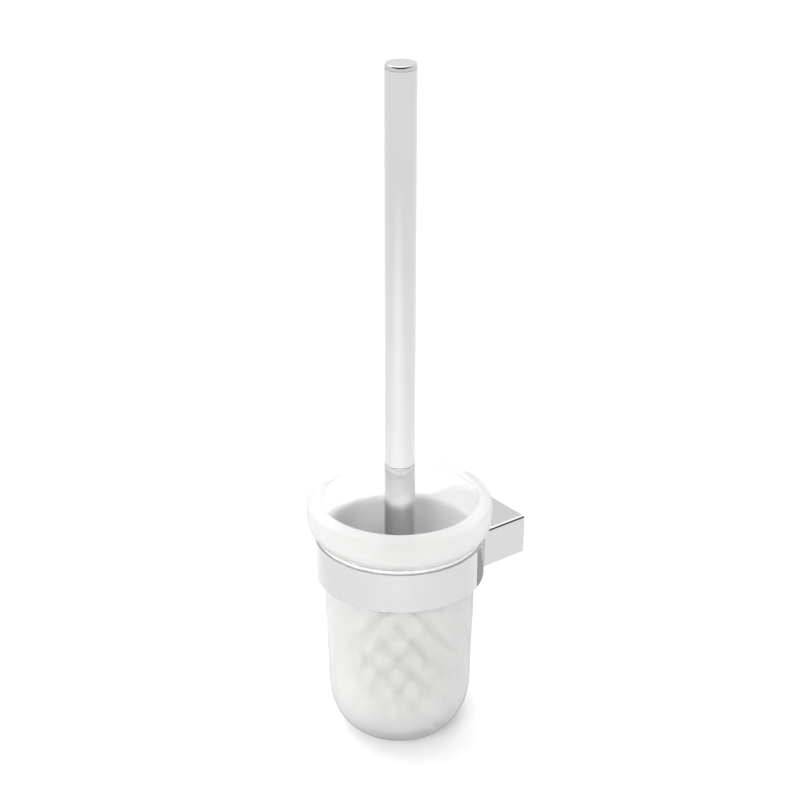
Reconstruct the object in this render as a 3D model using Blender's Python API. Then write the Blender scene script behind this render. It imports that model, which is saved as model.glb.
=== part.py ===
"""Wall-mounted toilet brush set.

A squared arm carries a round ring on the wall.  The ring holds a frosted glass
tumbler on a thin plastic liner, and a brush with a round tube handle stands in
the tumbler.  Metres.  X runs along the wall, +Y into the wall, +Z up.  The
origin is the centre of the arm's back face, on the wall.
"""
import math

import bmesh
import bpy
from mathutils import Matrix, Vector

# ---- holder -------------------------------------------------------------
ARM_REACH = 0.0222           # wall face to the back of the ring
ARM_WIDTH = 0.058
ARM_SHELL_SIDE = 0.0040      # wall of the arm left and right of its pocket
ARM_SHELL_TOP = 0.0040       # wall of the arm above and below its pocket
ARM_FRONT_WALL = 0.0060      # solid metal between pocket and ring
RING_HEIGHT = 0.025
RING_WALL = 0.0038
RING_LIP_REACH = 0.0013      # small inward step that carries the liner
RING_LIP_H = 0.0017
EDGE_CHAMFER = 0.0006        # polished edge of ring and arm
FIT_GAP = 0.0003             # clearance between neighbouring pieces

# ---- hidden wall bracket and its clamping screw ---------------------------
PLATE_T = 0.0030
TONGUE_W = 0.0140
TONGUE_H = 0.0100
TONGUE_REACH = 0.0120        # how far the tongue stands off the wall
SCREW_SPACING = 0.0300
SCREW_HOLE_R = 0.0023
SCREW_SINK_R = 0.0042
SCREW_SINK_DEPTH = 0.0020
GRUB_R = 0.0020
GRUB_POINT = 0.0008
GRUB_FROM_WALL = 0.0085
GRUB_SOCKET_R = 0.00115      # hexagon socket, across corners
GRUB_SOCKET_DEPTH = 0.0020

# ---- plastic liner ---------------------------------------------------------
LINER_WALL = 0.0014
LINER_FLANGE_INSET = 0.0011  # flange stops this far inside the ring's edge
LINER_FLANGE_T = 0.0008

# ---- glass tumbler ---------------------------------------------------------
GLASS_R = 0.0442             # outside, where it passes through the ring
GLASS_WALL = 0.0040
GLASS_DROP = 0.1045          # ring's lower edge down to the foot
GLASS_FLOOR = 0.0060
GLASS_FOOT_R = 0.0210
GLASS_ROUND_H = 0.0324       # height of the rounded bottom
GLASS_TAPER = 0.0014         # how much the side draws in before the bottom
GLASS_STRAIGHT = 0.0209      # straight stretch below the ring
GLASS_INNER_FOOT_R = 0.0170
COLLAR_WALL = 0.0044
NECK_DROP = 0.0100           # shoulder down to where the funnel meets the side
COLLAR_FLARE = 0.0104        # how far the collar bulges beyond the side
COLLAR_RISE = 0.0246         # ring's upper edge up to the lip
LIP_CURL = 0.0083            # how far the lip curls back in

# ---- handle ----------------------------------------------------------------
HANDLE_R = 0.0090
HANDLE_TOP = 0.3089          # above the ring's lower edge
TUBE_WALL = 0.0010
CAP_H = 0.0026
CAP_SLOPE = 0.0004           # how much the cap narrows towards its top
CAP_BEVEL = 0.0006
CAP_PLUG = 0.0100            # length of the cap inside the tube
SEAM_Z = 0.0719              # joint of tube and sleeve above the ring's lower edge
INSERT_L = 0.0180
STUD_R = 0.0030
STUD_CHAMFER = 0.0007
STUD_UP = 0.0150             # thread inside the tube's insert
STUD_DOWN = 0.0250           # thread inside the brush core
SLEEVE_WALL = 0.0015

# ---- brush -----------------------------------------------------------------
CORE_R = 0.0060
CORE_COLLAR_H = 0.0060
CORE_END_CHAMFER = 0.0012
HUB_WALL = 0.0012
ROW_COUNT = 8
FIRST_ROW_Z = 0.0003         # middle of the top row above the ring's lower edge
CROWN_ABOVE_FLOOR = 0.0132   # middle of the lowest tufts above the glass floor
TUFTS_PER_ROW = 12
TUFT_ROOT_H = 0.0064         # height of a tuft where it leaves the stem
TUFT_DOME = 0.0009
TUFT_SPACING = 0.0026        # free space between the tips of crossing neighbours
TUFT_SIDE_SPACING = 0.0017   # free space between tips in one row
TIPS_TO_SIDE = 0.0037        # straight tufts to the tumbler's inside
TIPS_TO_CURVE = 0.0022       # lower tufts to the tumbler's round bottom
CROWN_DROP = 0.0060          # how far the lowest tufts point down
TUFT_TURN = math.radians(7.0)

# ---- roundness ---------------------------------------------------------------
SEG_LARGE = 60
SEG_SMALL = 32

# ---- sizes that follow from the ones above -----------------------------------
LINER_INNER_R = GLASS_R + FIT_GAP
LINER_OUTER_R = LINER_INNER_R + LINER_WALL
RING_INNER_R = LINER_OUTER_R + FIT_GAP
RING_OUTER_R = RING_INNER_R + RING_WALL
WALL_TO_AXIS = ARM_REACH + FIT_GAP + RING_OUTER_R
AXIS = Vector((0.0, -WALL_TO_AXIS, 0.0))
POCKET_DEPTH = ARM_REACH - ARM_FRONT_WALL
RING_BOTTOM = -RING_HEIGHT / 2
RING_TOP = RING_HEIGHT / 2
LINER_FLANGE_Z = RING_TOP + FIT_GAP
SHOULDER_Z = LINER_FLANGE_Z + LINER_FLANGE_T + FIT_GAP
COLLAR_R = GLASS_R + COLLAR_FLARE
LIP_R = COLLAR_R - LIP_CURL
LIP_Z = RING_TOP + COLLAR_RISE
FOOT_Z = RING_BOTTOM - GLASS_DROP
FLOOR_Z = FOOT_Z + GLASS_FLOOR
BRUSH_R = GLASS_R - GLASS_WALL - TIPS_TO_SIDE
FIRST_ROW_HEIGHT = RING_BOTTOM + FIRST_ROW_Z
ROW_PITCH = (FIRST_ROW_HEIGHT - FLOOR_Z - CROWN_ABOVE_FLOOR) / ROW_COUNT


# ---- small helpers -----------------------------------------------------------
def clear_scene():
    for obj in list(bpy.data.objects):
        bpy.data.objects.remove(obj, do_unlink=True)


def material(name, colour, roughness, metallic):
    mat = bpy.data.materials.new(name)
    mat.use_nodes = True
    shader = mat.node_tree.nodes["Principled BSDF"]
    shader.inputs["Base Color"].default_value = (*colour, 1.0)
    shader.inputs["Roughness"].default_value = roughness
    shader.inputs["Metallic"].default_value = metallic
    mat.diffuse_color = (*colour, 1.0)
    return mat


def make_object(name, bm, origin, finish):
    """Turn a mesh into one named object with its own finish."""
    bmesh.ops.recalc_face_normals(bm, faces=bm.faces)
    mesh = bpy.data.meshes.new(name)
    bm.to_mesh(mesh)
    bm.free()
    obj = bpy.data.objects.new(name, mesh)
    obj.location = origin
    bpy.context.collection.objects.link(obj)
    mesh.materials.append(material(name + "_finish", *finish))
    return obj


def lathe(profile, segments, closed=False, turn=0.0):
    """Revolve (radius, height) points; closed=True joins the last to the first."""
    bm = bmesh.new()
    rows = []
    for radius, height in profile:
        if radius < 1e-7:
            rows.append([bm.verts.new((0.0, 0.0, height))])
            continue
        row = []
        for step in range(segments):
            angle = turn + 2 * math.pi * step / segments
            row.append(bm.verts.new((radius * math.cos(angle), radius * math.sin(angle), height)))
        rows.append(row)
    pairs = list(zip(rows, rows[1:]))
    if closed:
        pairs.append((rows[-1], rows[0]))
    for low, high in pairs:
        for step in range(segments):
            after = (step + 1) % segments
            corners = [low[step % len(low)], low[after % len(low)]]
            corners += [high[after % len(high)], high[step % len(high)]]
            unique = list(dict.fromkeys(corners))
            if len(unique) > 2:
                bm.faces.new(unique)
    return bm


def box(size, centre):
    bm = bmesh.new()
    bmesh.ops.create_cube(bm, size=1.0, matrix=Matrix.Translation(centre) @ Matrix.Diagonal((*size, 1.0)))
    return bm


def cutter(name, bm, origin):
    obj = make_object(name, bm, origin, ((0.5, 0.5, 0.5), 0.5, 0.0))
    obj.hide_render = True
    obj.display_type = 'WIRE'
    return obj


def cut(target, tool):
    mod = target.modifiers.new("cut_" + tool.name, 'BOOLEAN')
    mod.operation = 'DIFFERENCE'
    mod.solver = 'EXACT'
    mod.object = tool


def join(target, tool):
    mod = target.modifiers.new("join_" + tool.name, 'BOOLEAN')
    mod.operation = 'UNION'
    mod.solver = 'EXACT'
    mod.object = tool


def blend(points, steps):
    """Smooth curve through the given points (Catmull-Rom), end points kept."""
    padded = [points[0]] + list(points) + [points[-1]]
    curve = []
    for index in range(1, len(padded) - 2):
        before, start, end, after = [Vector(padded[index + shift]) for shift in (-1, 0, 1, 2)]
        for step in range(steps):
            t = step / steps
            curve.append(0.5 * (2 * start + (end - before) * t
                                + (2 * before - 5 * start + 4 * end - after) * t * t
                                + (3 * start - before - 3 * end + after) * t * t * t))
    curve.append(Vector(points[-1]))
    return [(point.x, point.y) for point in curve]


# ---- holder ------------------------------------------------------------------
CHROME = ((0.82, 0.83, 0.84), 0.08, 1.0)
ZINC = ((0.62, 0.62, 0.60), 0.45, 1.0)
STEEL = ((0.55, 0.55, 0.56), 0.30, 1.0)
CLEAR_PLASTIC = ((0.86, 0.88, 0.88), 0.30, 0.0)
FROSTED_GLASS = ((0.88, 0.91, 0.90), 0.45, 0.0)
WHITE_PLASTIC = ((0.90, 0.90, 0.88), 0.40, 0.0)
BRISTLE = ((0.93, 0.92, 0.88), 0.60, 0.0)


def build_ring():
    lip_r = RING_INNER_R - RING_LIP_REACH
    profile = [
        (RING_OUTER_R, RING_BOTTOM + EDGE_CHAMFER),
        (RING_OUTER_R, RING_TOP - EDGE_CHAMFER),
        (RING_OUTER_R - EDGE_CHAMFER, RING_TOP),
        (RING_INNER_R, RING_TOP),
        (RING_INNER_R, RING_BOTTOM + RING_LIP_H),
        (lip_r, RING_BOTTOM + RING_LIP_H),
        (lip_r, RING_BOTTOM),
        (RING_OUTER_R - EDGE_CHAMFER, RING_BOTTOM),
    ]
    return make_object("holder_ring", lathe(profile, SEG_LARGE, closed=True), AXIS, CHROME)


def build_arm():
    """Squared block, scooped to the ring in front and pocketed from the wall side."""
    front = -WALL_TO_AXIS + 0.5 * RING_OUTER_R
    back = -FIT_GAP
    bm = box((ARM_WIDTH, back - front, RING_HEIGHT), (0.0, (back + front) / 2, 0.0))
    long_edges = [edge for edge in bm.edges
                  if abs(edge.verts[0].co.y - edge.verts[1].co.y) > 1e-6]
    bmesh.ops.bevel(bm, geom=long_edges, offset=EDGE_CHAMFER, segments=1, affect='EDGES')
    arm = make_object("holder_arm", bm, (0.0, 0.0, 0.0), CHROME)

    scoop_r = RING_OUTER_R + FIT_GAP
    scoop = [(0.0, -RING_HEIGHT), (scoop_r, -RING_HEIGHT), (scoop_r, RING_HEIGHT), (0.0, RING_HEIGHT)]
    cut(arm, cutter("arm_scoop", lathe(scoop, SEG_LARGE), AXIS))

    width = ARM_WIDTH - 2 * ARM_SHELL_SIDE
    height = RING_HEIGHT - 2 * ARM_SHELL_TOP
    pocket = box((width, 2 * POCKET_DEPTH, height), (0.0, 0.0, 0.0))
    cut(arm, cutter("arm_pocket", pocket, (0.0, 0.0, 0.0)))

    hole_r = GRUB_R + FIT_GAP
    hole = [(0.0, RING_BOTTOM - ARM_SHELL_TOP), (hole_r, RING_BOTTOM - ARM_SHELL_TOP),
            (hole_r, 0.0), (0.0, 0.0)]
    cut(arm, cutter("arm_grub_hole", lathe(hole, SEG_SMALL // 2), (0.0, -GRUB_FROM_WALL, 0.0)))
    return arm


def build_bracket():
    """Plate against the wall with two countersunk holes and a clamping tongue."""
    width = ARM_WIDTH - 2 * ARM_SHELL_SIDE - 2 * FIT_GAP
    height = RING_HEIGHT - 2 * ARM_SHELL_TOP - 2 * FIT_GAP
    plate = box((width, PLATE_T, height), (0.0, -PLATE_T / 2, 0.0))
    bracket = make_object("wall_bracket", plate, (0.0, 0.0, 0.0), ZINC)

    tongue = box((TONGUE_W, TONGUE_REACH - PLATE_T / 2, TONGUE_H),
                 (0.0, -(TONGUE_REACH + PLATE_T / 2) / 2, 0.0))
    join(bracket, cutter("bracket_tongue", tongue, (0.0, 0.0, 0.0)))

    for side, label in ((-1, "left"), (1, "right")):
        sink_start = PLATE_T - SCREW_SINK_DEPTH
        profile = [(0.0, -PLATE_T), (SCREW_HOLE_R, -PLATE_T), (SCREW_HOLE_R, sink_start),
                   (SCREW_SINK_R, PLATE_T), (SCREW_SINK_R, 2 * PLATE_T), (0.0, 2 * PLATE_T)]
        bm = lathe(profile, SEG_SMALL // 2)
        bmesh.ops.rotate(bm, verts=bm.verts, cent=(0, 0, 0), matrix=Matrix.Rotation(math.pi / 2, 3, 'X'))
        tool = cutter("bracket_hole_" + label, bm, (side * SCREW_SPACING / 2, 0.0, 0.0))
        cut(bracket, tool)
    return bracket


def build_grub_screw():
    """Short set screw under the arm; its point stops just under the tongue."""
    bottom = RING_BOTTOM + FIT_GAP
    top = -TONGUE_H / 2 - FIT_GAP
    profile = [(0.0, bottom), (GRUB_R, bottom), (GRUB_R, top - GRUB_POINT),
               (GRUB_R - GRUB_POINT, top), (0.0, top)]
    length_mid = (bottom + top) / 2
    local = [(radius, height - length_mid) for radius, height in profile]
    origin = (0.0, -GRUB_FROM_WALL, length_mid)
    grub = make_object("grub_screw", lathe(local, SEG_SMALL // 2), origin, STEEL)
    depth = bottom - length_mid + GRUB_SOCKET_DEPTH
    socket = [(0.0, depth - 2 * GRUB_SOCKET_DEPTH), (GRUB_SOCKET_R, depth - 2 * GRUB_SOCKET_DEPTH),
              (GRUB_SOCKET_R, depth), (0.0, depth)]
    cut(grub, cutter("grub_socket", lathe(socket, 6), origin))
    return grub


def build_liner():
    bottom = RING_BOTTOM + RING_LIP_H + FIT_GAP
    flange_r = RING_OUTER_R - LINER_FLANGE_INSET
    profile = [
        (LINER_OUTER_R, bottom),
        (LINER_OUTER_R, LINER_FLANGE_Z),
        (flange_r, LINER_FLANGE_Z),
        (flange_r, LINER_FLANGE_Z + LINER_FLANGE_T),
        (LINER_INNER_R, LINER_FLANGE_Z + LINER_FLANGE_T),
        (LINER_INNER_R, bottom),
    ]
    return make_object("liner_ring", lathe(profile, SEG_LARGE, closed=True), AXIS, CLEAR_PLASTIC)


# ---- tumbler -------------------------------------------------------------------
def round_bottom(flat_r, side_r, bottom, height, steps):
    """Quarter oval from the flat middle out and up to the side."""
    points = []
    for step in range(steps + 1):
        angle = math.pi / 2 * step / steps
        radius = flat_r + (side_r - flat_r) * math.sin(angle)
        points.append((radius, bottom + height * (1 - math.cos(angle))))
    return points


def glass_outer_lower():
    """Foot up to the ring: flat foot, round bottom, nearly straight side."""
    curve = round_bottom(GLASS_FOOT_R, GLASS_R - GLASS_TAPER, FOOT_Z, GLASS_ROUND_H, 8)
    return [(0.0, FOOT_Z)] + curve + [(GLASS_R, RING_BOTTOM - GLASS_STRAIGHT)]


def glass_collar():
    """Shoulder on the liner, bulging collar, lip curled in, funnel to the neck."""
    rise = LIP_Z - SHOULDER_Z
    inner_neck = GLASS_R - GLASS_WALL
    inner_bulge = COLLAR_R - COLLAR_WALL
    outer = [
        (GLASS_R + 0.32 * COLLAR_FLARE, SHOULDER_Z),
        (GLASS_R + 0.70 * COLLAR_FLARE, SHOULDER_Z + 0.15 * rise),
        (GLASS_R + 0.93 * COLLAR_FLARE, SHOULDER_Z + 0.36 * rise),
        (COLLAR_R, SHOULDER_Z + 0.64 * rise),
        (GLASS_R + 0.93 * COLLAR_FLARE, SHOULDER_Z + 0.90 * rise),
        (LIP_R + 0.53 * LIP_CURL, SHOULDER_Z + 0.97 * rise),
        (LIP_R + 0.14 * LIP_CURL, LIP_Z),
    ]
    inner = [
        (LIP_R, LIP_Z - 0.05 * rise),
        (inner_bulge - 0.07 * COLLAR_FLARE, SHOULDER_Z + 0.76 * rise),
        (inner_bulge, SHOULDER_Z + 0.56 * rise),
        (inner_bulge - 0.07 * COLLAR_FLARE, SHOULDER_Z + 0.36 * rise),
        (inner_neck + 0.60 * (inner_bulge - inner_neck), SHOULDER_Z + 0.15 * rise),
        (inner_neck + 0.14 * (inner_bulge - inner_neck), SHOULDER_Z - 0.12 * NECK_DROP),
        (inner_neck, SHOULDER_Z - NECK_DROP),
    ]
    return [(GLASS_R, SHOULDER_Z)] + blend(outer, 2) + blend(inner, 2)


def glass_inner_lower():
    """Inside of the tumbler from the side down to its floor."""
    side = GLASS_R - GLASS_WALL
    height = GLASS_ROUND_H - GLASS_WALL / 2
    curve = round_bottom(GLASS_INNER_FOOT_R, side - GLASS_TAPER, FLOOR_Z, height, 7)
    return [(side, RING_BOTTOM - GLASS_STRAIGHT)] + curve[::-1] + [(0.0, FLOOR_Z)]


def inner_radius_at(height):
    """Inside radius of the tumbler at a height, used to keep the tufts clear."""
    points = glass_inner_lower()
    if height >= points[0][1]:
        return points[0][0]
    for (upper_r, upper_z), (lower_r, lower_z) in zip(points, points[1:]):
        if lower_z <= height <= upper_z and upper_z > lower_z:
            share = (height - lower_z) / (upper_z - lower_z)
            return lower_r + share * (upper_r - lower_r)
    return 0.0


def build_glass():
    profile = glass_outer_lower() + glass_collar() + glass_inner_lower()
    return make_object("glass_tumbler", lathe(profile, SEG_LARGE), AXIS, FROSTED_GLASS)


# ---- handle ----------------------------------------------------------------------
TUBE_BOTTOM = RING_BOTTOM + SEAM_Z + FIT_GAP / 2
CAP_TOP = RING_BOTTOM + HANDLE_TOP
TUBE_TOP = CAP_TOP - CAP_H - FIT_GAP
TUBE_INNER_R = HANDLE_R - TUBE_WALL
SLEEVE_TOP = TUBE_BOTTOM - FIT_GAP
CORE_TOP = SLEEVE_TOP - FIT_GAP
COLLAR_TOP = FIRST_ROW_HEIGHT + ROW_PITCH / 2 + FIT_GAP + CORE_COLLAR_H
SLEEVE_BOTTOM = COLLAR_TOP + FIT_GAP


def build_handle():
    tube = [(HANDLE_R, TUBE_BOTTOM), (HANDLE_R, TUBE_TOP), (TUBE_INNER_R, TUBE_TOP),
            (TUBE_INNER_R, TUBE_BOTTOM)]
    make_object("handle_tube", lathe(tube, SEG_SMALL, closed=True), AXIS, CHROME)

    plug_r = TUBE_INNER_R - FIT_GAP
    plug_bottom = TUBE_TOP - CAP_PLUG
    cap = [(0.0, plug_bottom), (plug_r, plug_bottom), (plug_r, TUBE_TOP + FIT_GAP),
           (HANDLE_R, TUBE_TOP + FIT_GAP), (HANDLE_R - CAP_SLOPE, CAP_TOP - CAP_BEVEL),
           (HANDLE_R - CAP_SLOPE - CAP_BEVEL, CAP_TOP), (0.0, CAP_TOP)]
    make_object("handle_cap", lathe(cap, SEG_SMALL), AXIS, CHROME)

    bore_r = STUD_R + FIT_GAP
    insert_top = TUBE_BOTTOM + INSERT_L
    insert = [(plug_r, TUBE_BOTTOM), (plug_r, insert_top), (bore_r, insert_top), (bore_r, TUBE_BOTTOM)]
    make_object("tube_insert", lathe(insert, SEG_SMALL, closed=True), AXIS, ZINC)

    stud_top = TUBE_BOTTOM + STUD_UP
    stud_bottom = CORE_TOP - STUD_DOWN
    end_r = STUD_R - STUD_CHAMFER
    stud = [(0.0, stud_bottom), (end_r, stud_bottom), (STUD_R, stud_bottom + STUD_CHAMFER),
            (STUD_R, stud_top - STUD_CHAMFER), (end_r, stud_top), (0.0, stud_top)]
    make_object("threaded_stud", lathe(stud, SEG_SMALL // 2), AXIS, STEEL)

    sleeve_inner = HANDLE_R - SLEEVE_WALL
    sleeve = [(HANDLE_R, SLEEVE_BOTTOM), (HANDLE_R, SLEEVE_TOP), (sleeve_inner, SLEEVE_TOP),
              (sleeve_inner, SLEEVE_BOTTOM)]
    make_object("brush_sleeve", lathe(sleeve, SEG_SMALL, closed=True), AXIS, CHROME)


# ---- brush ------------------------------------------------------------------------
def row_height(index):
    return FIRST_ROW_HEIGHT - index * ROW_PITCH


CORE_BOTTOM = FLOOR_Z + FIT_GAP      # the brush stands on the end of its core


def build_core():
    """Plastic stem: thin where the tufts sit, a collar, then the sleeved neck."""
    neck_r = HANDLE_R - SLEEVE_WALL - FIT_GAP
    bore_r = STUD_R + FIT_GAP
    bore_bottom = CORE_TOP - STUD_DOWN - FIT_GAP
    collar_bottom = COLLAR_TOP - CORE_COLLAR_H
    profile = [
        (0.0, CORE_BOTTOM), (CORE_R - CORE_END_CHAMFER, CORE_BOTTOM),
        (CORE_R, CORE_BOTTOM + CORE_END_CHAMFER),
        (CORE_R, collar_bottom), (HANDLE_R, collar_bottom), (HANDLE_R, COLLAR_TOP),
        (neck_r, COLLAR_TOP), (neck_r, CORE_TOP), (bore_r, CORE_TOP), (bore_r, bore_bottom),
        (0.0, bore_bottom),
    ]
    make_object("brush_core", lathe(profile, SEG_SMALL), AXIS, WHITE_PLASTIC)


def tuft_row(name, middle, drop, turn):
    """One ring of tufts round the core, each flaring to an eight-sided tip."""
    half_h = ROW_PITCH / 2 - FIT_GAP / 2
    inner_r = CORE_R + FIT_GAP
    outer_r = inner_r + HUB_WALL
    heights = (-half_h, -TUFT_ROOT_H / 2, TUFT_ROOT_H / 2, half_h)
    sectors = 2 * TUFTS_PER_ROW
    bm = bmesh.new()

    def ring(radius, height):
        verts = []
        for step in range(sectors):
            angle = turn + math.pi * (step - 0.5) / TUFTS_PER_ROW
            verts.append(bm.verts.new((radius * math.cos(angle), radius * math.sin(angle), height)))
        return verts

    outer = [ring(outer_r, height) for height in heights]
    inner = [ring(inner_r, height) for height in (heights[0], heights[-1])]
    for step in range(sectors):
        after = (step + 1) % sectors
        bm.faces.new((inner[0][step], inner[1][step], inner[1][after], inner[0][after]))
        bm.faces.new((outer[0][step], inner[0][step], inner[0][after], outer[0][after]))
        bm.faces.new((inner[1][step], outer[3][step], outer[3][after], inner[1][after]))
        for low, high in ((0, 1), (1, 2), (2, 3)):
            corners = [outer[low][step], outer[low][after], outer[high][after], outer[high][step]]
            if low == 1 and step % 2 == 0:
                grow_tuft(bm, corners, turn + math.pi * step / TUFTS_PER_ROW, middle, drop)
            else:
                bm.faces.new(corners)
    return make_object(name, bm, AXIS + Vector((0.0, 0.0, middle)), BRISTLE)


def grow_tuft(bm, root, angle, middle, drop):
    """Flare from four root corners to an octagon at the tip."""
    reach = min(BRUSH_R, inner_radius_at(middle - drop - ROW_PITCH / 2) - TIPS_TO_CURVE)
    beside = reach * math.sin(math.pi / TUFTS_PER_ROW)
    half = min(math.hypot(beside, ROW_PITCH) - TUFT_SPACING, 2 * beside - TUFT_SIDE_SPACING) / 2
    outward = Vector((math.cos(angle), math.sin(angle), 0.0))
    sideways = Vector((-math.sin(angle), math.cos(angle), 0.0))
    lean = math.atan2(drop, reach)
    upright = outward * math.sin(lean) + Vector((0.0, 0.0, math.cos(lean)))
    centre = outward * (reach - half * math.sin(lean)) - Vector((0.0, 0.0, drop))
    slant = half * math.tan(math.pi / 8)
    octagon = [(-slant, -half), (slant, -half), (half, -slant), (half, slant),
               (slant, half), (-slant, half), (-half, slant), (-half, -slant)]
    tip = [bm.verts.new(centre + sideways * across + upright * along) for across, along in octagon]
    dome = bm.verts.new(centre + outward * TUFT_DOME)
    for side in range(4):
        here = root[side]
        there = root[(side + 1) % 4]
        bm.faces.new((here, there, tip[(2 * side + 1) % 8], tip[2 * side]))
        bm.faces.new((here, tip[2 * side], tip[(2 * side - 1) % 8]))
    for corner in range(8):
        bm.faces.new((tip[corner], tip[(corner + 1) % 8], dome))


def build_brush():
    build_core()
    half_pitch = math.pi / TUFTS_PER_ROW
    for index in range(ROW_COUNT):
        turn = TUFT_TURN + (index % 2) * half_pitch
        tuft_row("tuft_row_%d" % (index + 1), row_height(index), 0.0, turn)
    turn = TUFT_TURN + (ROW_COUNT % 2) * half_pitch
    tuft_row("tuft_crown", row_height(ROW_COUNT), CROWN_DROP, turn)


def main():
    clear_scene()
    build_bracket()
    build_arm()
    build_ring()
    build_grub_screw()
    build_liner()
    build_glass()
    build_handle()
    build_brush()


main()
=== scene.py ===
"""Looks for the wall-mounted toilet brush set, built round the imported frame."""

import math
import random

import bmesh
import bpy
from mathutils import Matrix, Vector


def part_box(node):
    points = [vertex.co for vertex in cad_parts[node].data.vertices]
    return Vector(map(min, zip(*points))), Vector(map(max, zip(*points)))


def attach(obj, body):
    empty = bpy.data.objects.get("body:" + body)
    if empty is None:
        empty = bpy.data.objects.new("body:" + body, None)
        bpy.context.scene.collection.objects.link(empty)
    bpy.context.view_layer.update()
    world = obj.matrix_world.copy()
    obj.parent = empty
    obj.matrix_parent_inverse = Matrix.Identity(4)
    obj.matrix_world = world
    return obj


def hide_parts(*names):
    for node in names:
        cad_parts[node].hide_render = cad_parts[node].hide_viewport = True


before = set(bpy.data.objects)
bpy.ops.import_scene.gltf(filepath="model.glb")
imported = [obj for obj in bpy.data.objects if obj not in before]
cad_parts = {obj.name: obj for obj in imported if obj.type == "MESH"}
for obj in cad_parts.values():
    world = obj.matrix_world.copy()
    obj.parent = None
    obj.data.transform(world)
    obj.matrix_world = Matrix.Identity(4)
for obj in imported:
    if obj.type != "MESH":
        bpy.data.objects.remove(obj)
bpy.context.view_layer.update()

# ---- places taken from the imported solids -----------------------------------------
RING_LO, RING_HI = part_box("holder_ring")
GLASS_LO, GLASS_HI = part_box("glass_tumbler")
LINER_LO, LINER_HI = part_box("liner_ring")
ARM_LO, ARM_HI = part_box("holder_arm")
TUBE_LO, TUBE_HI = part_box("handle_tube")
CAP_LO, CAP_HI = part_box("handle_cap")
SLEEVE_LO, SLEEVE_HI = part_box("brush_sleeve")
CORE_LO, CORE_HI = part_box("brush_core")
AXIS_X = (RING_LO.x + RING_HI.x) / 2
AXIS_Y = (RING_LO.y + RING_HI.y) / 2
RING_R = (RING_HI.x - RING_LO.x) / 2
COLLAR_R = (GLASS_HI.x - GLASS_LO.x) / 2
FLANGE_R = (LINER_HI.x - LINER_LO.x) / 2
HANDLE_R = (TUBE_HI.x - TUBE_LO.x) / 2

# ---- sizes that the boxes do not give, in metres ----------------------------------------
GAP = 0.0003
RING_WALL = 0.0038
RING_LIP_R = 0.0449
RING_LIP_H = 0.0017
GLASS_R = 0.0442
GLASS_WALL = 0.0040
COLLAR_WALL = 0.0044
LIP_CURL = 0.0083
LIP_R = COLLAR_R - LIP_CURL
GLASS_FLOOR = 0.0060
FOOT_R = 0.0210
INNER_FOOT_R = 0.0170
ROUND_H = 0.0324
TAPER = 0.0014
STRAIGHT = 0.0209
NECK_DROP = 0.0100
SHOULDER_Z = LINER_HI.z + GAP
LINER_WALL = 0.0014
LINER_INNER_R = GLASS_R + GAP
LINER_OUTER_R = LINER_INNER_R + LINER_WALL
TUBE_WALL = 0.0010
SLEEVE_WALL = 0.0015
CORE_R = 0.0060
CORE_COLLAR_H = 0.0060
CORE_END_R = 0.0012
STUD_BORE_R = 0.0033
STUD_BORE_DEPTH = 0.0253
POCKET_W, POCKET_DEPTH, POCKET_H = 0.0500, 0.0162, 0.0170
TUFTS = 12
TUFT_TURN = math.radians(7.0)
ROWS = 8

# ---- camera, fitted to the photograph's outlines ----------------------------------
CAMERA_AZIMUTH = 52.4
CAMERA_PITCH = 25.376
CAMERA_ROLL = 0.147
CAMERA_OUT = 1.02667         # horizontal distance from the tumbler's centre line
CAMERA_UP = 0.59854          # height above the ring's lower edge
CAMERA_LENS = 89.57
SENSOR = 36.0

# ---- studio --------------------------------------------------------------------------
OPENING_AZIMUTH = 9.0        # degrees from the camera's side, towards its right
TENT_LIGHT = 1.18            # seen in the polished faces
ROOM_LIGHT = 0.68            # reaches everything else from the sides
OVERHEAD_LIGHT = 2.4
OVERHEAD_AZIMUTH = 200.0
OVERHEAD_ELEVATION = 66.0
KEY_AZIMUTH = -120.0
KEY_ELEVATION = 68.0
KEY_DISTANCE = 1.25
KEY_SIZE = 0.9
KEY_POWER = 0.8
FILL_AZIMUTH = -15.0
FILL_ELEVATION = 34.0
FILL_DISTANCE = 1.30
FILL_SIZE = 0.8
FILL_SPREAD = 60.0
FILL_POWER = 1.35
FLOOR_HALF_SIZE = 5.0
FLOOR_GAP = 0.0002
OPENING_SHADE = 0.97         # how dark the tent's opening is
OPENING_SIDES = (0.10, 0.16)     # cosine from its middle where it fades in
OPENING_BOTTOM = (0.01, 0.07)    # sine of the elevation where it starts
OPENING_TOP = (0.80, 0.90)       # and where it ends
OVERHEAD_FADE = (0.80, 0.92)     # cosine from the middle of the overhead light
FLAG_AZIMUTH = 140.0
FLAG_DISTANCE = 0.17
FLAG_WIDTH = 0.142
FLAG_HEIGHT = 0.075


# ---- mesh helpers ----------------------------------------------------------------------
def add_object(name, mesh, material, body, node):
    """Place a piece: it rides on body and stands for the CAD node."""
    obj = bpy.data.objects.new(name, mesh)
    bpy.context.scene.collection.objects.link(obj)
    mesh.materials.clear()
    mesh.materials.append(material)
    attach(obj, body)
    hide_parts(node)


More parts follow.
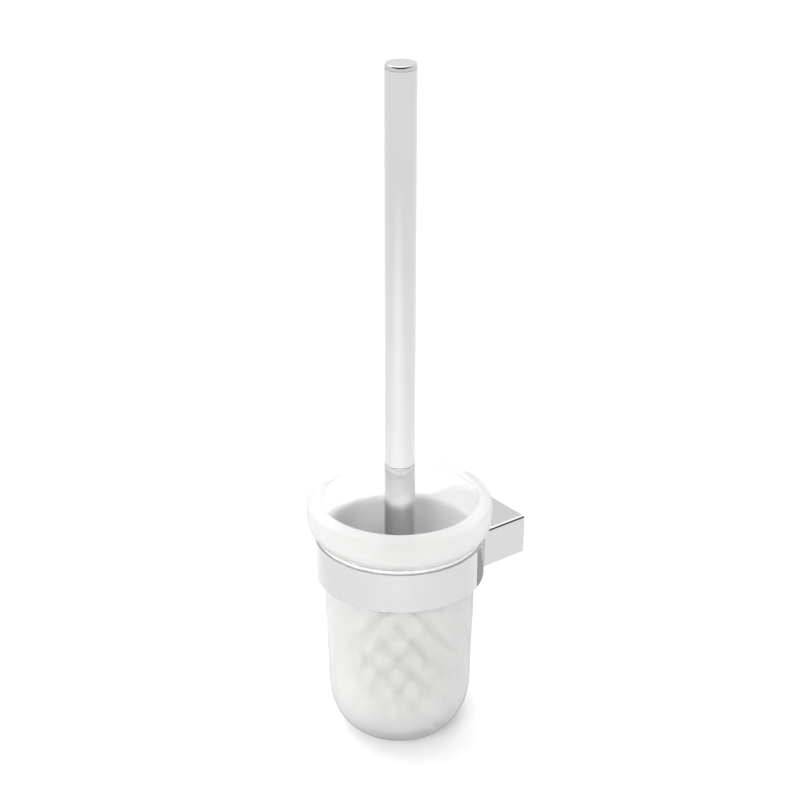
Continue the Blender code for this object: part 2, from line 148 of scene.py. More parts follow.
def rounded(corners, steps=4, support=0.00012):
    """Closed outline with each (r, z, radius) corner rounded, and short straight
    stretches kept next to each curve so that flat faces shade flat."""
    outline = []
    count = len(corners)
    for index, (radius_here, height_here, fillet) in enumerate(corners):
        here = Vector((radius_here, height_here))
        before = Vector(corners[index - 1][:2])
        after = Vector(corners[(index + 1) % count][:2])
        to_before = (before - here).normalized()
        to_after = (after - here).normalized()
        angle = to_before.angle(to_after)
        if fillet <= 0 or angle > math.pi - 0.02:
            outline.append(here)
            continue
        tangent = fillet / math.tan(angle / 2)
        start = here + to_before * tangent
        end = here + to_after * tangent
        centre = here + (to_before + to_after).normalized() * (fillet / math.sin(angle / 2))
        outline.append(start + to_before * support)
        for step in range(steps + 1):
            mix = start.lerp(end, step / steps) - centre
            outline.append(centre + mix.normalized() * fillet)
        outline.append(end + to_after * support)
    return [(point.x, point.y) for point in outline]


def lathe(name, profile, segments, closed):
    """Smooth revolved mesh about the set's upright centre line."""
    bm = bmesh.new()
    rows = []
    for radius, height in profile:
        count = 1 if radius < 1e-7 else segments
        row = []
        for step in range(count):
            angle = 2 * math.pi * step / segments
            row.append(bm.verts.new((AXIS_X + radius * math.cos(angle),
                                     AXIS_Y + radius * math.sin(angle), height)))
        rows.append(row)
    pairs = list(zip(rows, rows[1:]))
    if closed:
        pairs.append((rows[-1], rows[0]))
    for low, high in pairs:
        for step in range(segments):
            after = (step + 1) % segments
            corners = [low[step % len(low)], low[after % len(low)],
                       high[after % len(high)], high[step % len(high)]]
            unique = list(dict.fromkeys(corners))
            if len(unique) > 2:
                bm.faces.new(unique)
    bmesh.ops.recalc_face_normals(bm, faces=bm.faces)
    mesh = bpy.data.meshes.new(name)
    bm.to_mesh(mesh)
    bm.free()
    mesh.shade_smooth()
    return mesh


def blend(points, steps):
    """Smooth curve through the points, end points kept."""
    padded = [points[0]] + list(points) + [points[-1]]
    curve = []
    for index in range(1, len(padded) - 2):
        before, start, end, after = [Vector(padded[index + shift]) for shift in (-1, 0, 1, 2)]
        for step in range(steps):
            t = step / steps
            curve.append(0.5 * (2 * start + (end - before) * t
                                + (2 * before - 5 * start + 4 * end - after) * t * t
                                + (3 * start - before - 3 * end + after) * t * t * t))
    curve.append(Vector(points[-1]))
    return [(point.x, point.y) for point in curve]


# ---- materials ----------------------------------------------------------------------------
def shader_of(name):
    mat = bpy.data.materials.new(name)
    mat.use_nodes = True
    return mat, mat.node_tree, mat.node_tree.nodes["Principled BSDF"]


def noise(tree, scale, detail=4.0, stretch=(1.0, 1.0, 1.0)):
    """Procedural noise in the object's own coordinates."""
    coords = tree.nodes.new("ShaderNodeTexCoord")
    mapping = tree.nodes.new("ShaderNodeMapping")
    mapping.inputs["Scale"].default_value = stretch
    texture = tree.nodes.new("ShaderNodeTexNoise")
    texture.inputs["Scale"].default_value = scale
    texture.inputs["Detail"].default_value = detail
    tree.links.new(coords.outputs["Object"], mapping.inputs["Vector"])
    tree.links.new(mapping.outputs["Vector"], texture.inputs["Vector"])
    return texture.outputs["Fac"]


def spread(tree, value, low, high, start=0.3, end=0.7):
    """Map a noise value to a range."""
    node = tree.nodes.new("ShaderNodeMapRange")
    node.inputs["From Min"].default_value = start
    node.inputs["From Max"].default_value = end
    node.inputs["To Min"].default_value = low
    node.inputs["To Max"].default_value = high
    tree.links.new(value, node.inputs["Value"])
    return node.outputs["Result"]


def tint(tree, value, dark, light):
    ramp = tree.nodes.new("ShaderNodeValToRGB")
    ramp.color_ramp.elements[0].position = 0.3
    ramp.color_ramp.elements[0].color = (*dark, 1.0)
    ramp.color_ramp.elements[1].position = 0.7
    ramp.color_ramp.elements[1].color = (*light, 1.0)
    tree.links.new(value, ramp.inputs["Fac"])
    return ramp.outputs["Color"]


def bump(tree, value, distance, strength, shader):
    node = tree.nodes.new("ShaderNodeBump")
    node.inputs["Distance"].default_value = distance
    node.inputs["Strength"].default_value = strength
    tree.links.new(value, node.inputs["Height"])
    tree.links.new(node.outputs["Normal"], shader.inputs["Normal"])


def polished_chrome(name, dark, light):
    """Bright plating: faint wiping marks in the gloss and a slow drift in tone."""
    mat, tree, shader = shader_of(name)
    smudge = noise(tree, 26.0, 5.0)
    wipe = noise(tree, 900.0, 3.0, (1.0, 1.0, 0.12))
    tree.links.new(tint(tree, smudge, dark, light), shader.inputs["Base Color"])
    tree.links.new(spread(tree, smudge, 0.025, 0.055), shader.inputs["Roughness"])
    shader.inputs["Metallic"].default_value = 1.0
    bump(tree, wipe, 0.00002, 0.04, shader)
    return mat


def frosted_glass():
    """Satin glass. Its low index and diffuse share are tuned to stand for light scattered inside."""
    mat, tree, shader = shader_of("frosted_glass")
    grain = noise(tree, 2600.0, 2.0)
    cloud = noise(tree, 30.0, 4.0)
    tree.links.new(tint(tree, cloud, (0.962, 0.962, 0.958), (0.974, 0.974, 0.970)),
                   shader.inputs["Base Color"])
    tree.links.new(spread(tree, cloud, 0.555, 0.605), shader.inputs["Roughness"])
    shader.inputs["Transmission Weight"].default_value = 0.76
    shader.inputs["IOR"].default_value = 1.25
    bump(tree, grain, 0.00004, 0.25, shader)
    return mat


def liner_plastic():
    mat, tree, shader = shader_of("liner_plastic")
    cloud = noise(tree, 120.0)
    # The grey base colour, well below the white of the plastic, is painted shade for the liner's band under
    # the glass collar.
    tree.links.new(tint(tree, cloud, (0.70, 0.702, 0.70), (0.74, 0.742, 0.74)), shader.inputs["Base Color"])
    tree.links.new(spread(tree, cloud, 0.22, 0.32), shader.inputs["Roughness"])
    shader.inputs["Transmission Weight"].default_value = 0.0
    shader.inputs["IOR"].default_value = 1.49
    bump(tree, cloud, 0.00003, 0.15, shader)
    return mat


def moulded_plastic():
    mat, tree, shader = shader_of("brush_plastic")
    grain = noise(tree, 1500.0, 3.0)
    cloud = noise(tree, 60.0)
    tree.links.new(tint(tree, cloud, (0.92, 0.92, 0.905), (0.95, 0.95, 0.94)), shader.inputs["Base Color"])
    tree.links.new(spread(tree, grain, 0.34, 0.46), shader.inputs["Roughness"])
    shader.inputs["Subsurface Weight"].default_value = 0.15
    shader.inputs["Subsurface Radius"].default_value = (0.002, 0.002, 0.0015)
    bump(tree, grain, 0.00003, 0.2, shader)
    return mat


def nylon_bristle():
    mat, tree, shader = shader_of("bristle_white")
    strand = noise(tree, 700.0, 2.0)
    tree.links.new(tint(tree, strand, (0.93, 0.925, 0.90), (0.985, 0.98, 0.965)), shader.inputs["Base Color"])
    tree.links.new(spread(tree, strand, 0.36, 0.52), shader.inputs["Roughness"])
    shader.inputs["Specular IOR Level"].default_value = 0.45
    return mat


def cast_zinc():
    mat, tree, shader = shader_of("bracket_zinc")
    grain = noise(tree, 1100.0, 5.0)
    patch = noise(tree, 90.0)
    tree.links.new(tint(tree, patch, (0.50, 0.50, 0.49), (0.64, 0.64, 0.62)), shader.inputs["Base Color"])
    tree.links.new(spread(tree, grain, 0.38, 0.55), shader.inputs["Roughness"])
    shader.inputs["Metallic"].default_value = 1.0
    bump(tree, grain, 0.00005, 0.35, shader)
    return mat


def screw_steel():
    mat, tree, shader = shader_of("screw_steel")
    turned = noise(tree, 1400.0, 3.0, (0.2, 0.2, 3.0))
    tree.links.new(tint(tree, turned, (0.44, 0.44, 0.45), (0.60, 0.60, 0.61)), shader.inputs["Base Color"])
    tree.links.new(spread(tree, turned, 0.24, 0.38), shader.inputs["Roughness"])
    shader.inputs["Metallic"].default_value = 1.0
    bump(tree, turned, 0.00003, 0.3, shader)
    return mat


def studio_floor():
    mat, tree, shader = shader_of("studio_floor")
    cloud = noise(tree, 3.0)
    colour = tint(tree, cloud, (0.905, 0.905, 0.905), (0.915, 0.915, 0.915))
    tree.links.new(colour, shader.inputs["Base Color"])
    shader.inputs["Roughness"].default_value = 0.9
    shader.inputs["Specular IOR Level"].default_value = 0.1
    return mat


def flag_card():
    mat, tree, shader = shader_of("flag_card")
    cloud = noise(tree, 8.0)
    tree.links.new(tint(tree, cloud, (0.36, 0.36, 0.36), (0.40, 0.40, 0.40)), shader.inputs["Base Color"])
    shader.inputs["Roughness"].default_value = 0.9
    return mat


# ---- holder ---------------------------------------------------------------------------------
RING_OUTER_EDGE = 0.0006      # rounding of the lower outer edge
RING_TOP_EDGE = 0.00025
RING_INNER_EDGE = 0.0003
RING_STEP_EDGE = 0.0002      # edges of the small step that carries the liner


def build_ring(material):
    inner = RING_R - RING_WALL
    low, high = RING_LO.z, RING_HI.z
    corners = [
        (RING_R, low, RING_OUTER_EDGE), (RING_R, high, RING_TOP_EDGE), (inner, high, RING_INNER_EDGE),
        (inner, low + RING_LIP_H, RING_STEP_EDGE), (RING_LIP_R, low + RING_LIP_H, RING_STEP_EDGE),
        (RING_LIP_R, low, RING_INNER_EDGE),
    ]
    mesh = lathe("holder_ring_look", rounded(corners), 192, True)
    add_object("holder_ring_look", mesh, material, "holder", "holder_ring")


ARM_EDGE = 0.0017            # rounding of the long edges that run from ring to wall
ARM_OTHER_EDGE_SHARE = 0.22  # the other edges get this share of it
ARM_SCOOP_STEPS = 24
GRUB_HOLE_LENGTH = 0.012     # of the cutter, half of it below the arm


def arm_cutter(arm, name, bm):
    """Turn a mesh into an object that the arm's next Boolean takes away."""
    mesh = bpy.data.meshes.new(name)
    bm.to_mesh(mesh)
    bm.free()
    cutter = bpy.data.objects.new(name, mesh)
    bpy.context.scene.collection.objects.link(cutter)
    cut = arm.modifiers.new("cut", 'BOOLEAN')
    cut.object = cutter
    cut.solver = 'EXACT'
    return cutter


def build_arm(material):
    """Squared arm: scooped to the ring, pocketed at the wall, edges softly rounded."""
    half = ARM_HI.x
    reach = RING_R + GAP
    start = math.asin(half / reach)
    outline = [Vector((half, ARM_HI.y)), Vector((-half, ARM_HI.y))]
    for step in range(ARM_SCOOP_STEPS + 1):
        angle = -start + 2 * start * step / ARM_SCOOP_STEPS
        outline.append(Vector((AXIS_X + reach * math.sin(angle), AXIS_Y + reach * math.cos(angle))))
    bm = bmesh.new()
    lower = [bm.verts.new((point.x, point.y, ARM_LO.z)) for point in outline]
    face = bm.faces.new(lower)
    raised = bmesh.ops.extrude_face_region(bm, geom=[face])
    moved = [item for item in raised["geom"] if isinstance(item, bmesh.types.BMVert)]
    bmesh.ops.translate(bm, verts=moved, vec=(0, 0, ARM_HI.z - ARM_LO.z))
    bmesh.ops.recalc_face_normals(bm, faces=bm.faces)
    weight = bm.edges.layers.float.new("bevel_weight_edge")
    for edge in bm.edges:
        first, second = edge.verts
        if len(edge.link_faces) == 2 and edge.calc_face_angle() > math.radians(35):
            runs_out = abs(first.co.x - second.co.x) < 1e-6 and abs(first.co.y - second.co.y) > 0.005
            edge[weight] = 1.0 if runs_out else ARM_OTHER_EDGE_SHARE
    mesh = bpy.data.meshes.new("holder_arm_look")
    bm.to_mesh(mesh)
    bm.free()
    arm = bpy.data.objects.new("holder_arm_blank", mesh)
    bpy.context.scene.collection.objects.link(arm)

    bevel = arm.modifiers.new("edge", 'BEVEL')
    bevel.width = ARM_EDGE
    bevel.segments = 6
    bevel.limit_method = 'WEIGHT'
    bevel.harden_normals = True

    bm = bmesh.new()
    bmesh.ops.create_cube(bm, size=1.0, matrix=Matrix.Diagonal((POCKET_W, 2 * POCKET_DEPTH, POCKET_H, 1.0)))
    pocket = arm_cutter(arm, "cut_0", bm)
    grub_lo, grub_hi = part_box("grub_screw")
    bm = bmesh.new()
    place = Matrix.Translation(((grub_lo.x + grub_hi.x) / 2, (grub_lo.y + grub_hi.y) / 2, ARM_LO.z))
    radius = (grub_hi.x - grub_lo.x) / 2 + GAP
    bmesh.ops.create_cone(bm, cap_ends=True, segments=32, radius1=radius, radius2=radius,
                          depth=GRUB_HOLE_LENGTH, matrix=place)
    grub_hole = arm_cutter(arm, "cut_1", bm)
    mesh.shade_smooth()
    bpy.context.view_layer.update()
    graph = bpy.context.evaluated_depsgraph_get()
    final = bpy.data.meshes.new_from_object(arm.evaluated_get(graph), preserve_all_data_layers=True,
                                            depsgraph=graph)
    for leftover in (pocket, grub_hole, arm):
        bpy.data.objects.remove(leftover)
    final.name = "holder_arm_look"
    add_object("holder_arm_look", final, material, "holder", "holder_arm")


LINER_SEAT_GAP = 0.00003     # flange above the ring's top


def build_liner(material):
    seat = RING_HI.z + LINER_SEAT_GAP
    corners = [
        (LINER_OUTER_R, LINER_LO.z, 0.0003), (LINER_OUTER_R, seat, 0.0),
        (FLANGE_R, seat, 0.00012), (FLANGE_R, LINER_HI.z, 0.00035),
        (LINER_INNER_R, LINER_HI.z, 0.0002), (LINER_INNER_R, LINER_LO.z, 0.0003),
    ]
    mesh = lathe("liner_ring_look", rounded(corners, 3, 0.00005), 160, True)
    add_object("liner_ring_look", mesh, material, "holder", "liner_ring")


# ---- tumbler -----------------------------------------------------------------------------------
def round_bottom(flat_r, side_r, bottom, height, steps):
    """Quarter ellipse from the flat foot or floor up to the side."""
    points = []
    for step in range(steps + 1):
        angle = math.pi / 2 * step / steps
        points.append((flat_r + (side_r - flat_r) * math.sin(angle), bottom + height * (1 - math.cos(angle))))
    return points


def glass_profile():
    """Outline from the middle of the foot, up the outside, over the lip and down the inside."""
    foot = GLASS_LO.z
    floor = foot + GLASS_FLOOR
    ring_bottom = RING_LO.z
    rise = GLASS_HI.z - SHOULDER_Z
    flare = COLLAR_R - GLASS_R
    neck = GLASS_R - GLASS_WALL
    bulge = COLLAR_R - COLLAR_WALL
    lower = round_bottom(FOOT_R, GLASS_R - TAPER, foot, ROUND_H, 28)
    side = [lower[-1], (GLASS_R - 0.55 * TAPER, (lower[-1][1] + ring_bottom - STRAIGHT) / 2),
            (GLASS_R, ring_bottom - STRAIGHT), (GLASS_R, ring_bottom)]
    outside = [
        (GLASS_R + 0.32 * flare, SHOULDER_Z),
        (GLASS_R + 0.70 * flare, SHOULDER_Z + 0.15 * rise),
        (GLASS_R + 0.93 * flare, SHOULDER_Z + 0.36 * rise),
        (COLLAR_R, SHOULDER_Z + 0.64 * rise),
        (GLASS_R + 0.93 * flare, SHOULDER_Z + 0.90 * rise),
        (LIP_R + 0.53 * LIP_CURL, SHOULDER_Z + 0.97 * rise),
        (LIP_R + 0.14 * LIP_CURL, GLASS_HI.z),
        (LIP_R, GLASS_HI.z - 0.05 * rise),
        (bulge - 0.07 * flare, SHOULDER_Z + 0.76 * rise),
        (bulge, SHOULDER_Z + 0.56 * rise),
        (bulge - 0.07 * flare, SHOULDER_Z + 0.36 * rise),
        (neck + 0.60 * (bulge - neck), SHOULDER_Z + 0.15 * rise),
        (neck + 0.14 * (bulge - neck), SHOULDER_Z - 0.12 * NECK_DROP),
        (neck, SHOULDER_Z - NECK_DROP),
    ]
    inner = round_bottom(INNER_FOOT_R, neck - TAPER, floor, ROUND_H - GLASS_WALL / 2, 24)
    inner_side = [(neck, ring_bottom - STRAIGHT),
                  (neck - 0.45 * TAPER, (inner[-1][1] + ring_bottom - STRAIGHT) / 2)]
    profile = [(0.0, foot), (FOOT_R * 0.7, foot)] + lower + blend(side, 6)[1:]
    profile += [(GLASS_R, SHOULDER_Z - 0.0006), (GLASS_R + 0.0005, SHOULDER_Z - 0.00005)]
    profile += blend(outside, 8) + inner_side + inner[::-1] + [(INNER_FOOT_R * 0.6, floor), (0.0, floor)]
    return profile


def build_tumbler(material):
    mesh = lathe("tumbler_look", glass_profile(), 192, False)
    add_object("tumbler_look", mesh, material, "tumbler", "glass_tumbler")


# ---- handle ------------------------------------------------------------------------------------
SEAM_CLOSE = 0.0001          # tube and sleeve each take this much of the gap at their seam
CAP_CLOSE = 0.0002           # and the tube this much of the gap under the cap
HANDLE_EDGE_SUPPORT = 0.00006
CAP_SKIRT = 0.0007           # upright part of the cap's side
CAP_DRAW_IN = 0.0004         # how much the cap narrows above it
CAP_EDGE = 0.0006
CORE_COLLAR_EDGE = 0.0007


def build_handle(lit_chrome_copy, chrome, plastic):
    inner = HANDLE_R - TUBE_WALL
    bottom = TUBE_LO.z - SEAM_CLOSE
    top = TUBE_HI.z + CAP_CLOSE
    corners = [(HANDLE_R, bottom, 0.00012), (HANDLE_R, top, 0.00005), (inner, top, 0.00005),
               (inner, bottom, 0.0001)]
    mesh = lathe("handle_tube_look", rounded(corners, 4, HANDLE_EDGE_SUPPORT), 128, True)
    # The tube and the sleeve take the lighter chrome copy: painted light.
    add_object("handle_tube_look", mesh, lit_chrome_copy, "handle", "handle_tube")

    plug = inner - GAP
    seat = TUBE_HI.z + GAP
    top = CAP_HI.z
    corners = [(0.0, CAP_LO.z, 0.0), (plug, CAP_LO.z, CAP_EDGE), (plug, seat, 0.0),
               (HANDLE_R, seat, 0.00005), (HANDLE_R - 0.00003, seat + CAP_SKIRT, 0.0),
               (HANDLE_R - CAP_DRAW_IN, top, CAP_EDGE), (0.0, top, 0.0)]
    profile = rounded(corners, 5, HANDLE_EDGE_SUPPORT)
    mesh = lathe("handle_cap_look", profile, 128, False)
    add_object("handle_cap_look", mesh, chrome, "handle", "handle_cap")

    inner = HANDLE_R - SLEEVE_WALL
    top = SLEEVE_HI.z + SEAM_CLOSE
    corners = [(HANDLE_R, SLEEVE_LO.z, 0.0003), (HANDLE_R, top, 0.00015), (inner, top, 0.0001),
               (inner, SLEEVE_LO.z, 0.0001)]
    mesh = lathe("brush_sleeve_look", rounded(corners, 4, HANDLE_EDGE_SUPPORT), 128, True)
    add_object("brush_sleeve_look", mesh, lit_chrome_copy, "brush_head", "brush_sleeve")

    collar_top = SLEEVE_LO.z - GAP
    collar_low = collar_top - CORE_COLLAR_H
    neck = inner - GAP
    bore_low = CORE_HI.z - STUD_BORE_DEPTH
    corners = [(0.0, CORE_LO.z, 0.0), (CORE_R, CORE_LO.z, CORE_END_R), (CORE_R, collar_low, 0.0004),
               (HANDLE_R, collar_low, CORE_COLLAR_EDGE), (HANDLE_R, collar_top, 0.0003),
               (neck, collar_top, 0.0), (neck, CORE_HI.z, 0.0003), (STUD_BORE_R, CORE_HI.z, 0.0002),
               (STUD_BORE_R, bore_low, 0.0), (0.0, bore_low, 0.0)]
    profile = rounded(corners, 4, HANDLE_EDGE_SUPPORT)
    mesh = lathe("brush_core_look", profile, 96, False)
    add_object("brush_core_look", mesh, plastic, "brush_head", "brush_core")


# ---- stud --------------------------------------------------------------------------------------
THREAD_PITCH = 0.0010
THREAD_DEPTH = 0.00045
THREAD_STEP = 0.000125
THREAD_SIDES = 36
THREAD_RUN_OUT = 0.0015      # length over which the thread fades at each end
THREAD_END_SHARE = 0.9       # of the thread's depth is taken off the bare ends


def build_stud(material):
    """Stud with a helical thread that fades into a taper at both ends."""
    low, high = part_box("threaded_stud")
    radius = (high.x - low.x) / 2
    length = high.z - low.z
    levels = int(round(length / THREAD_STEP))
    bm = bmesh.new()
    rows = []
    for level in range(levels + 1):
        rise = length * level / levels
        run_in = min(1.0, rise / THREAD_RUN_OUT, (length - rise) / THREAD_RUN_OUT)
        row = []
        for side in range(THREAD_SIDES):
            share = side / THREAD_SIDES
            phase = (rise / THREAD_PITCH - share) % 1.0
            groove = 1.0 - abs(2.0 * phase - 1.0)
            here = radius - THREAD_DEPTH * (groove * run_in + THREAD_END_SHARE * (1.0 - run_in))
            angle = 2 * math.pi * share
            row.append(bm.verts.new((AXIS_X + here * math.cos(angle), AXIS_Y + here * math.sin(angle),
                                     low.z + rise)))
        rows.append(row)
    for lower, upper in zip(rows, rows[1:]):
        for side in range(THREAD_SIDES):
            after = (side + 1) % THREAD_SIDES
            bm.faces.new((lower[side], lower[after], upper[after], upper[side]))
    bm.faces.new(rows[0][::-1])
    bm.faces.new(rows[-1])
    mesh = bpy.data.meshes.new("threaded_stud_look")
    bm.to_mesh(mesh)
    bm.free()
    mesh.shade_smooth()
    mesh.set_sharp_from_angle(angle=math.radians(50))
    add_object("threaded_stud_look", mesh, material, "handle", "threaded_stud")


# ---- bristles ------------------------------------------------------------------------------------
BRISTLES = 88
BRISTLE_R = 0.00025
ROOT_SPREAD = 0.0013
TIP_SPREAD = 0.0048          # most that a tuft's tip reaches to each side
TIP_SIDE_SPACE = 0.0010      # kept free beside the next tuft
TIP_JITTER = 0.00025
LENGTH_JITTER = 0.0009
REACH_SHARE = 0.985          # of the solid row's radius
TURN_JITTER = 0.3
BOW_SIDEWAYS = 0.0006
BOW_UPRIGHT = 0.0007
BRISTLE_TAPER = (1.0, 1.0, 0.8)
CROWN_MIDDLE = 0.0052        # crown's roots below the top of its solid
CROWN_DROP = 0.0060
RANDOM_SEED = 11


def tuft_row(name, node, material, drop, turn, rng):
    """Every tuft of one row as separate slim bristles that splay towards their tips."""
    low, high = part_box(node)
    middle = high.z - (high.z - low.z) / 2 if drop == 0 else high.z - CROWN_MIDDLE
    reach = (high.x - low.x) / 2 * REACH_SHARE
    spread_r = min(TIP_SPREAD, reach * math.sin(math.pi / TUFTS) - TIP_SIDE_SPACE)
    points = []
    faces = []
    golden = math.pi * (3 - math.sqrt(5))
    for tuft in range(TUFTS):
        angle = turn + 2 * math.pi * tuft / TUFTS
        outward = Vector((math.cos(angle), math.sin(angle), 0.0))
        sideways = Vector((-math.sin(angle), math.cos(angle), 0.0))
        for index in range(BRISTLES):
            share = math.sqrt((index + 0.5) / BRISTLES)
            around = golden * index + rng.uniform(-TURN_JITTER, TURN_JITTER)
            across = math.cos(around) * share
            along = math.sin(around) * share
            root = outward * CORE_R + sideways * across * ROOT_SPREAD
            root += Vector((0, 0, along * ROOT_SPREAD))
            jitter = rng.uniform(-TIP_JITTER, TIP_JITTER)
            tip = sideways * (across * spread_r + jitter)
            tip += Vector((0, 0, along * spread_r - drop + rng.uniform(-TIP_JITTER, TIP_JITTER)))
            length = reach - rng.uniform(0.0, LENGTH_JITTER)
            flat = math.sqrt(max(length * length - tip.x ** 2 - tip.y ** 2, 1e-9))
            tip += outward * flat
            bend = (root + tip) / 2 - outward.cross(Vector((0, 0, 1))) * across * BOW_SIDEWAYS
            bend -= Vector((0, 0, along * BOW_UPRIGHT))
            base = len(points)
            direction = (tip - root).normalized()
            side_a = direction.cross(Vector((0.3, 0.2, 0.93))).normalized()
            side_b = direction.cross(side_a)
            for level, centre in enumerate((root, bend, tip)):
                radius = BRISTLE_R * BRISTLE_TAPER[level]
                for corner in range(3):
                    theta = 2 * math.pi * corner / 3
                    offset = side_a * math.cos(theta) + side_b * math.sin(theta)
                    spot = centre + offset * radius
                    points.append((AXIS_X + spot.x, AXIS_Y + spot.y, middle + spot.z))
            for level in range(2):
                for corner in range(3):
                    following = (corner + 1) % 3
                    row = base + 3 * level
                    faces.append((row + corner, row + following, row + 3 + following, row + 3 + corner))
            faces.append((base + 2, base + 1, base))
            faces.append((base + 6, base + 7, base + 8))
    mesh = bpy.data.meshes.new(name)
    mesh.from_pydata(points, [], faces)
    mesh.update()
    mesh.shade_smooth()
    add_object(name, mesh, material, "brush_head", node)


def build_bristles(material):
    rng = random.Random(RANDOM_SEED)
    half_pitch = math.pi / TUFTS
    for index in range(ROWS):
        turn = TUFT_TURN + (index % 2) * half_pitch
        tuft_row("bristle_row_%d" % (index + 1), "tuft_row_%d" % (index + 1), material, 0.0, turn, rng)
    turn = TUFT_TURN + (ROWS % 2) * half_pitch
    tuft_row("bristle_crown", "tuft_crown", material, CROWN_DROP, turn, rng)


# ---- studio ---------------------------------------------------------------------------------------
def build_floor(material):
    bm = bmesh.new()
    bmesh.ops.create_grid(bm, x_segments=8, y_segments=8, size=FLOOR_HALF_SIZE)
    mesh = bpy.data.meshes.new("floor")
    bm.to_mesh(mesh)
    bm.free()
    floor = bpy.data.objects.new("floor", mesh)
    floor.location = (AXIS_X, AXIS_Y, GLASS_LO.z - FLOOR_GAP)
    bpy.context.scene.collection.objects.link(floor)
    mesh.materials.append(material)


def sky_direction(azimuth, elevation):
    """Direction from the set: azimuth 0 is the photograph's camera side, 90 its right."""
    angle = math.radians(CAMERA_AZIMUTH + azimuth)
    flat = math.cos(math.radians(elevation))
    return (flat * math.sin(angle), -flat * math.cos(angle), math.sin(math.radians(elevation)))


def vector_math(tree, operation, first, second=None):
    node = tree.nodes.new("ShaderNodeVectorMath")
    node.operation = operation
    tree.links.new(first, node.inputs[0])
    if second is not None:
        node.inputs[1].default_value = second
    return node.outputs["Value" if operation == 'DOT_PRODUCT' else "Vector"]


def arithmetic(tree, operation, first, second):
    node = tree.nodes.new("ShaderNodeMath")
    node.operation = operation
    for slot, value in ((0, first), (1, second)):
        if isinstance(value, (int, float)):
            node.inputs[slot].default_value = value
        else:
            tree.links.new(value, node.inputs[slot])
    return node.outputs[0]


def soft_step(tree, value, start, end):
    """0 before start and 1 past end, smooth between."""
    ramp = tree.nodes.new("ShaderNodeMapRange")
    ramp.interpolation_type = 'SMOOTHSTEP'
    ramp.inputs["From Min"].default_value = start
    ramp.inputs["From Max"].default_value = end
    tree.links.new(value, ramp.inputs["Value"])
    return ramp.outputs["Result"]


def build_sky():
    """White studio tent. Its opening on the camera's side is dark, for the polished faces only,
    and starts just above the horizon, so that rays past the floor's edge still meet white."""
    world = bpy.data.worlds.new("studio")
    world.use_nodes = True
    bpy.context.scene.world = world
    tree = world.node_tree
    background = tree.nodes["Background"]
    background.inputs["Color"].default_value = (1.0, 1.0, 1.0, 1.0)
    direction = tree.nodes.new("ShaderNodeTexCoord").outputs["Generated"]
    level = vector_math(tree, 'NORMALIZE', vector_math(tree, 'MULTIPLY', direction, (1.0, 1.0, 0.0)))
    facing = vector_math(tree, 'DOT_PRODUCT', level, sky_direction(OPENING_AZIMUTH, 0.0))
    height = vector_math(tree, 'DOT_PRODUCT', direction, (0.0, 0.0, 1.0))
    below_top = arithmetic(tree, 'SUBTRACT', 1.0, soft_step(tree, height, *OPENING_TOP))
    above_floor = soft_step(tree, height, *OPENING_BOTTOM)
    opening = arithmetic(tree, 'MULTIPLY', soft_step(tree, facing, *OPENING_SIDES),
                         arithmetic(tree, 'MULTIPLY', above_floor, below_top))
    ray = tree.nodes.new("ShaderNodeLightPath")
    mirrored = arithmetic(tree, 'MULTIPLY', ray.outputs["Is Glossy Ray"],
                          arithmetic(tree, 'SUBTRACT', 1.0, ray.outputs["Is Transmission Ray"]))
    shade = arithmetic(tree, 'MULTIPLY', arithmetic(tree, 'MULTIPLY', opening, mirrored),
                       OPENING_SHADE)
    above = vector_math(tree, 'DOT_PRODUCT', direction, sky_direction(OVERHEAD_AZIMUTH, OVERHEAD_ELEVATION))
    overhead = arithmetic(tree, 'MULTIPLY', soft_step(tree, above, *OVERHEAD_FADE), OVERHEAD_LIGHT)
    polished = arithmetic(tree, 'MULTIPLY', TENT_LIGHT, arithmetic(tree, 'SUBTRACT', 1.0, shade))
    level_light = tree.nodes.new("ShaderNodeMix")
    seen = arithmetic(tree, 'MAXIMUM', mirrored, ray.outputs["Is Camera Ray"])
    tree.links.new(seen, level_light.inputs["Factor"])
    level_light.inputs["A"].default_value = ROOM_LIGHT
    tree.links.new(polished, level_light.inputs["B"])
    tree.links.new(arithmetic(tree, 'ADD', level_light.outputs["Result"], overhead),
                   background.inputs["Strength"])


def soft_box(name, azimuth, elevation, distance, size, power):
    data = bpy.data.lights.new(name, 'AREA')
    data.shape = 'DISK'
    data.size = size
    data.energy = power
    lamp = bpy.data.objects.new(name, data)
    bpy.context.scene.collection.objects.link(lamp)
    aim = Vector((AXIS_X, AXIS_Y, GLASS_LO.z))
    offset = Vector(sky_direction(azimuth, elevation)) * distance
    lamp.matrix_world = Matrix.Translation(aim + offset) @ offset.to_track_quat('Z', 'Y').to_matrix().to_4x4()
    return lamp


def build_flag(material):
    """Grey card behind right that only the polished faces see: it draws their far edge."""
    bm = bmesh.new()
    bmesh.ops.create_grid(bm, x_segments=4, y_segments=6, size=0.5)
    mesh = bpy.data.meshes.new("flag")
    bm.to_mesh(mesh)
    bm.free()
    mesh.materials.append(material)
    flag = bpy.data.objects.new("flag", mesh)
    bpy.context.scene.collection.objects.link(flag)
    outward = Vector(sky_direction(FLAG_AZIMUTH, 0.0))
    middle = Vector((AXIS_X, AXIS_Y, GLASS_LO.z + FLAG_HEIGHT / 2)) + outward * FLAG_DISTANCE
    flag.matrix_world = (Matrix.Translation(middle) @ outward.to_track_quat('Z', 'Y').to_matrix().to_4x4()
                         @ Matrix.Diagonal((FLAG_WIDTH, FLAG_HEIGHT, 1.0, 1.0)))
    flag.visible_camera = False
    flag.visible_diffuse = False
    flag.visible_transmission = False
    flag.visible_shadow = False


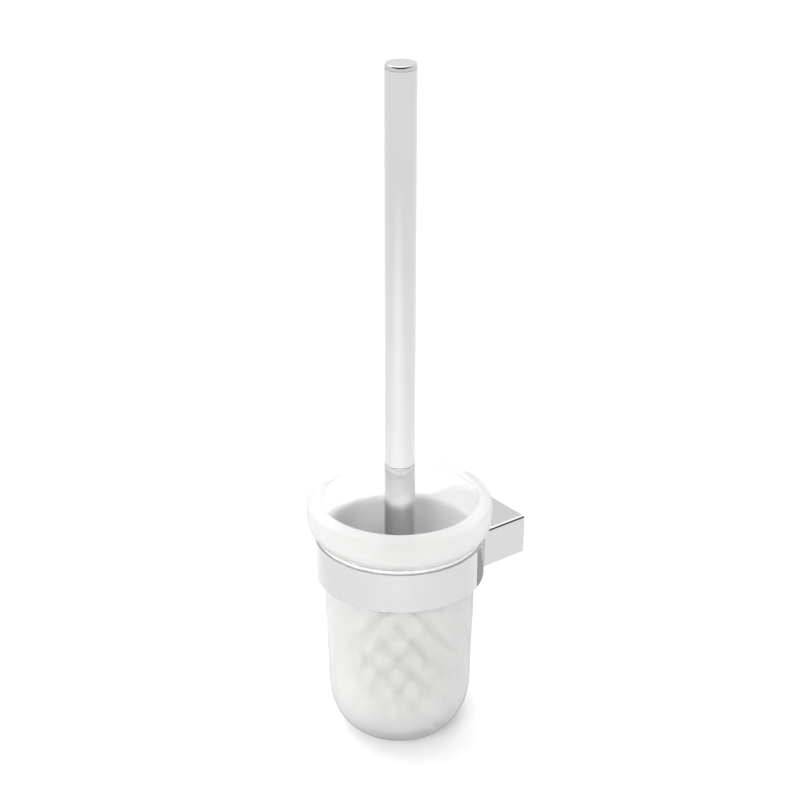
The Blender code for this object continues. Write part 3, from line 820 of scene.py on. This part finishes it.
def build_camera():
    azimuth = math.radians(CAMERA_AZIMUTH)
    pitch = math.radians(CAMERA_PITCH)
    roll = math.radians(CAMERA_ROLL)
    data = bpy.data.cameras.new("camera")
    data.sensor_width = SENSOR
    data.lens = CAMERA_LENS
    data.clip_start = 0.01
    camera = bpy.data.objects.new("camera", data)
    bpy.context.scene.collection.objects.link(camera)
    place = Vector((AXIS_X + CAMERA_OUT * math.sin(azimuth), AXIS_Y - CAMERA_OUT * math.cos(azimuth),
                    RING_LO.z + CAMERA_UP))
    level_right = Vector((math.cos(azimuth), math.sin(azimuth), 0.0))
    ahead = Vector((-math.sin(azimuth) * math.cos(pitch), math.cos(azimuth) * math.cos(pitch),
                    -math.sin(pitch)))
    level_up = level_right.cross(ahead)
    right = level_right * math.cos(roll) + level_up * math.sin(roll)
    up = right.cross(ahead)
    camera.matrix_world = Matrix.Translation(place) @ Matrix((right, up, -ahead)).transposed().to_4x4()
    bpy.context.scene.camera = camera


def finish_cad_nodes(zinc, steel):
    """Pieces whose solid is right already only get their finish."""
    for node, material in (("wall_bracket", zinc), ("tube_insert", zinc), ("grub_screw", steel)):
        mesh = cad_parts[node].data
        mesh.materials.clear()
        mesh.materials.append(material)


def main():
    # Two copies of one chrome: the ring, arm and cap take the darker base colour, the tube and the sleeve a
    # lighter one, painted light that brightens their reflections.
    chrome = polished_chrome("polished_chrome", (0.500, 0.502, 0.505), (0.525, 0.527, 0.530))
    lit_chrome_copy = polished_chrome("polished_chrome_lit_copy", (0.575, 0.577, 0.580), (0.600, 0.602, 0.605))
    plastic = moulded_plastic()
    steel = screw_steel()
    finish_cad_nodes(cast_zinc(), steel)
    build_ring(chrome)
    build_arm(chrome)
    build_liner(liner_plastic())
    build_tumbler(frosted_glass())
    build_handle(lit_chrome_copy, chrome, plastic)
    build_stud(steel)
    build_bristles(nylon_bristle())
    build_floor(studio_floor())
    build_flag(flag_card())
    build_sky()
    soft_box("key", KEY_AZIMUTH, KEY_ELEVATION, KEY_DISTANCE, KEY_SIZE, KEY_POWER)
    fill = soft_box("fill", FILL_AZIMUTH, FILL_ELEVATION, FILL_DISTANCE, FILL_SIZE, FILL_POWER)
    fill.data.spread = math.radians(FILL_SPREAD)
    fill.visible_glossy = False
    build_camera()
    bpy.context.scene.view_settings.view_transform = 'Standard'


main()
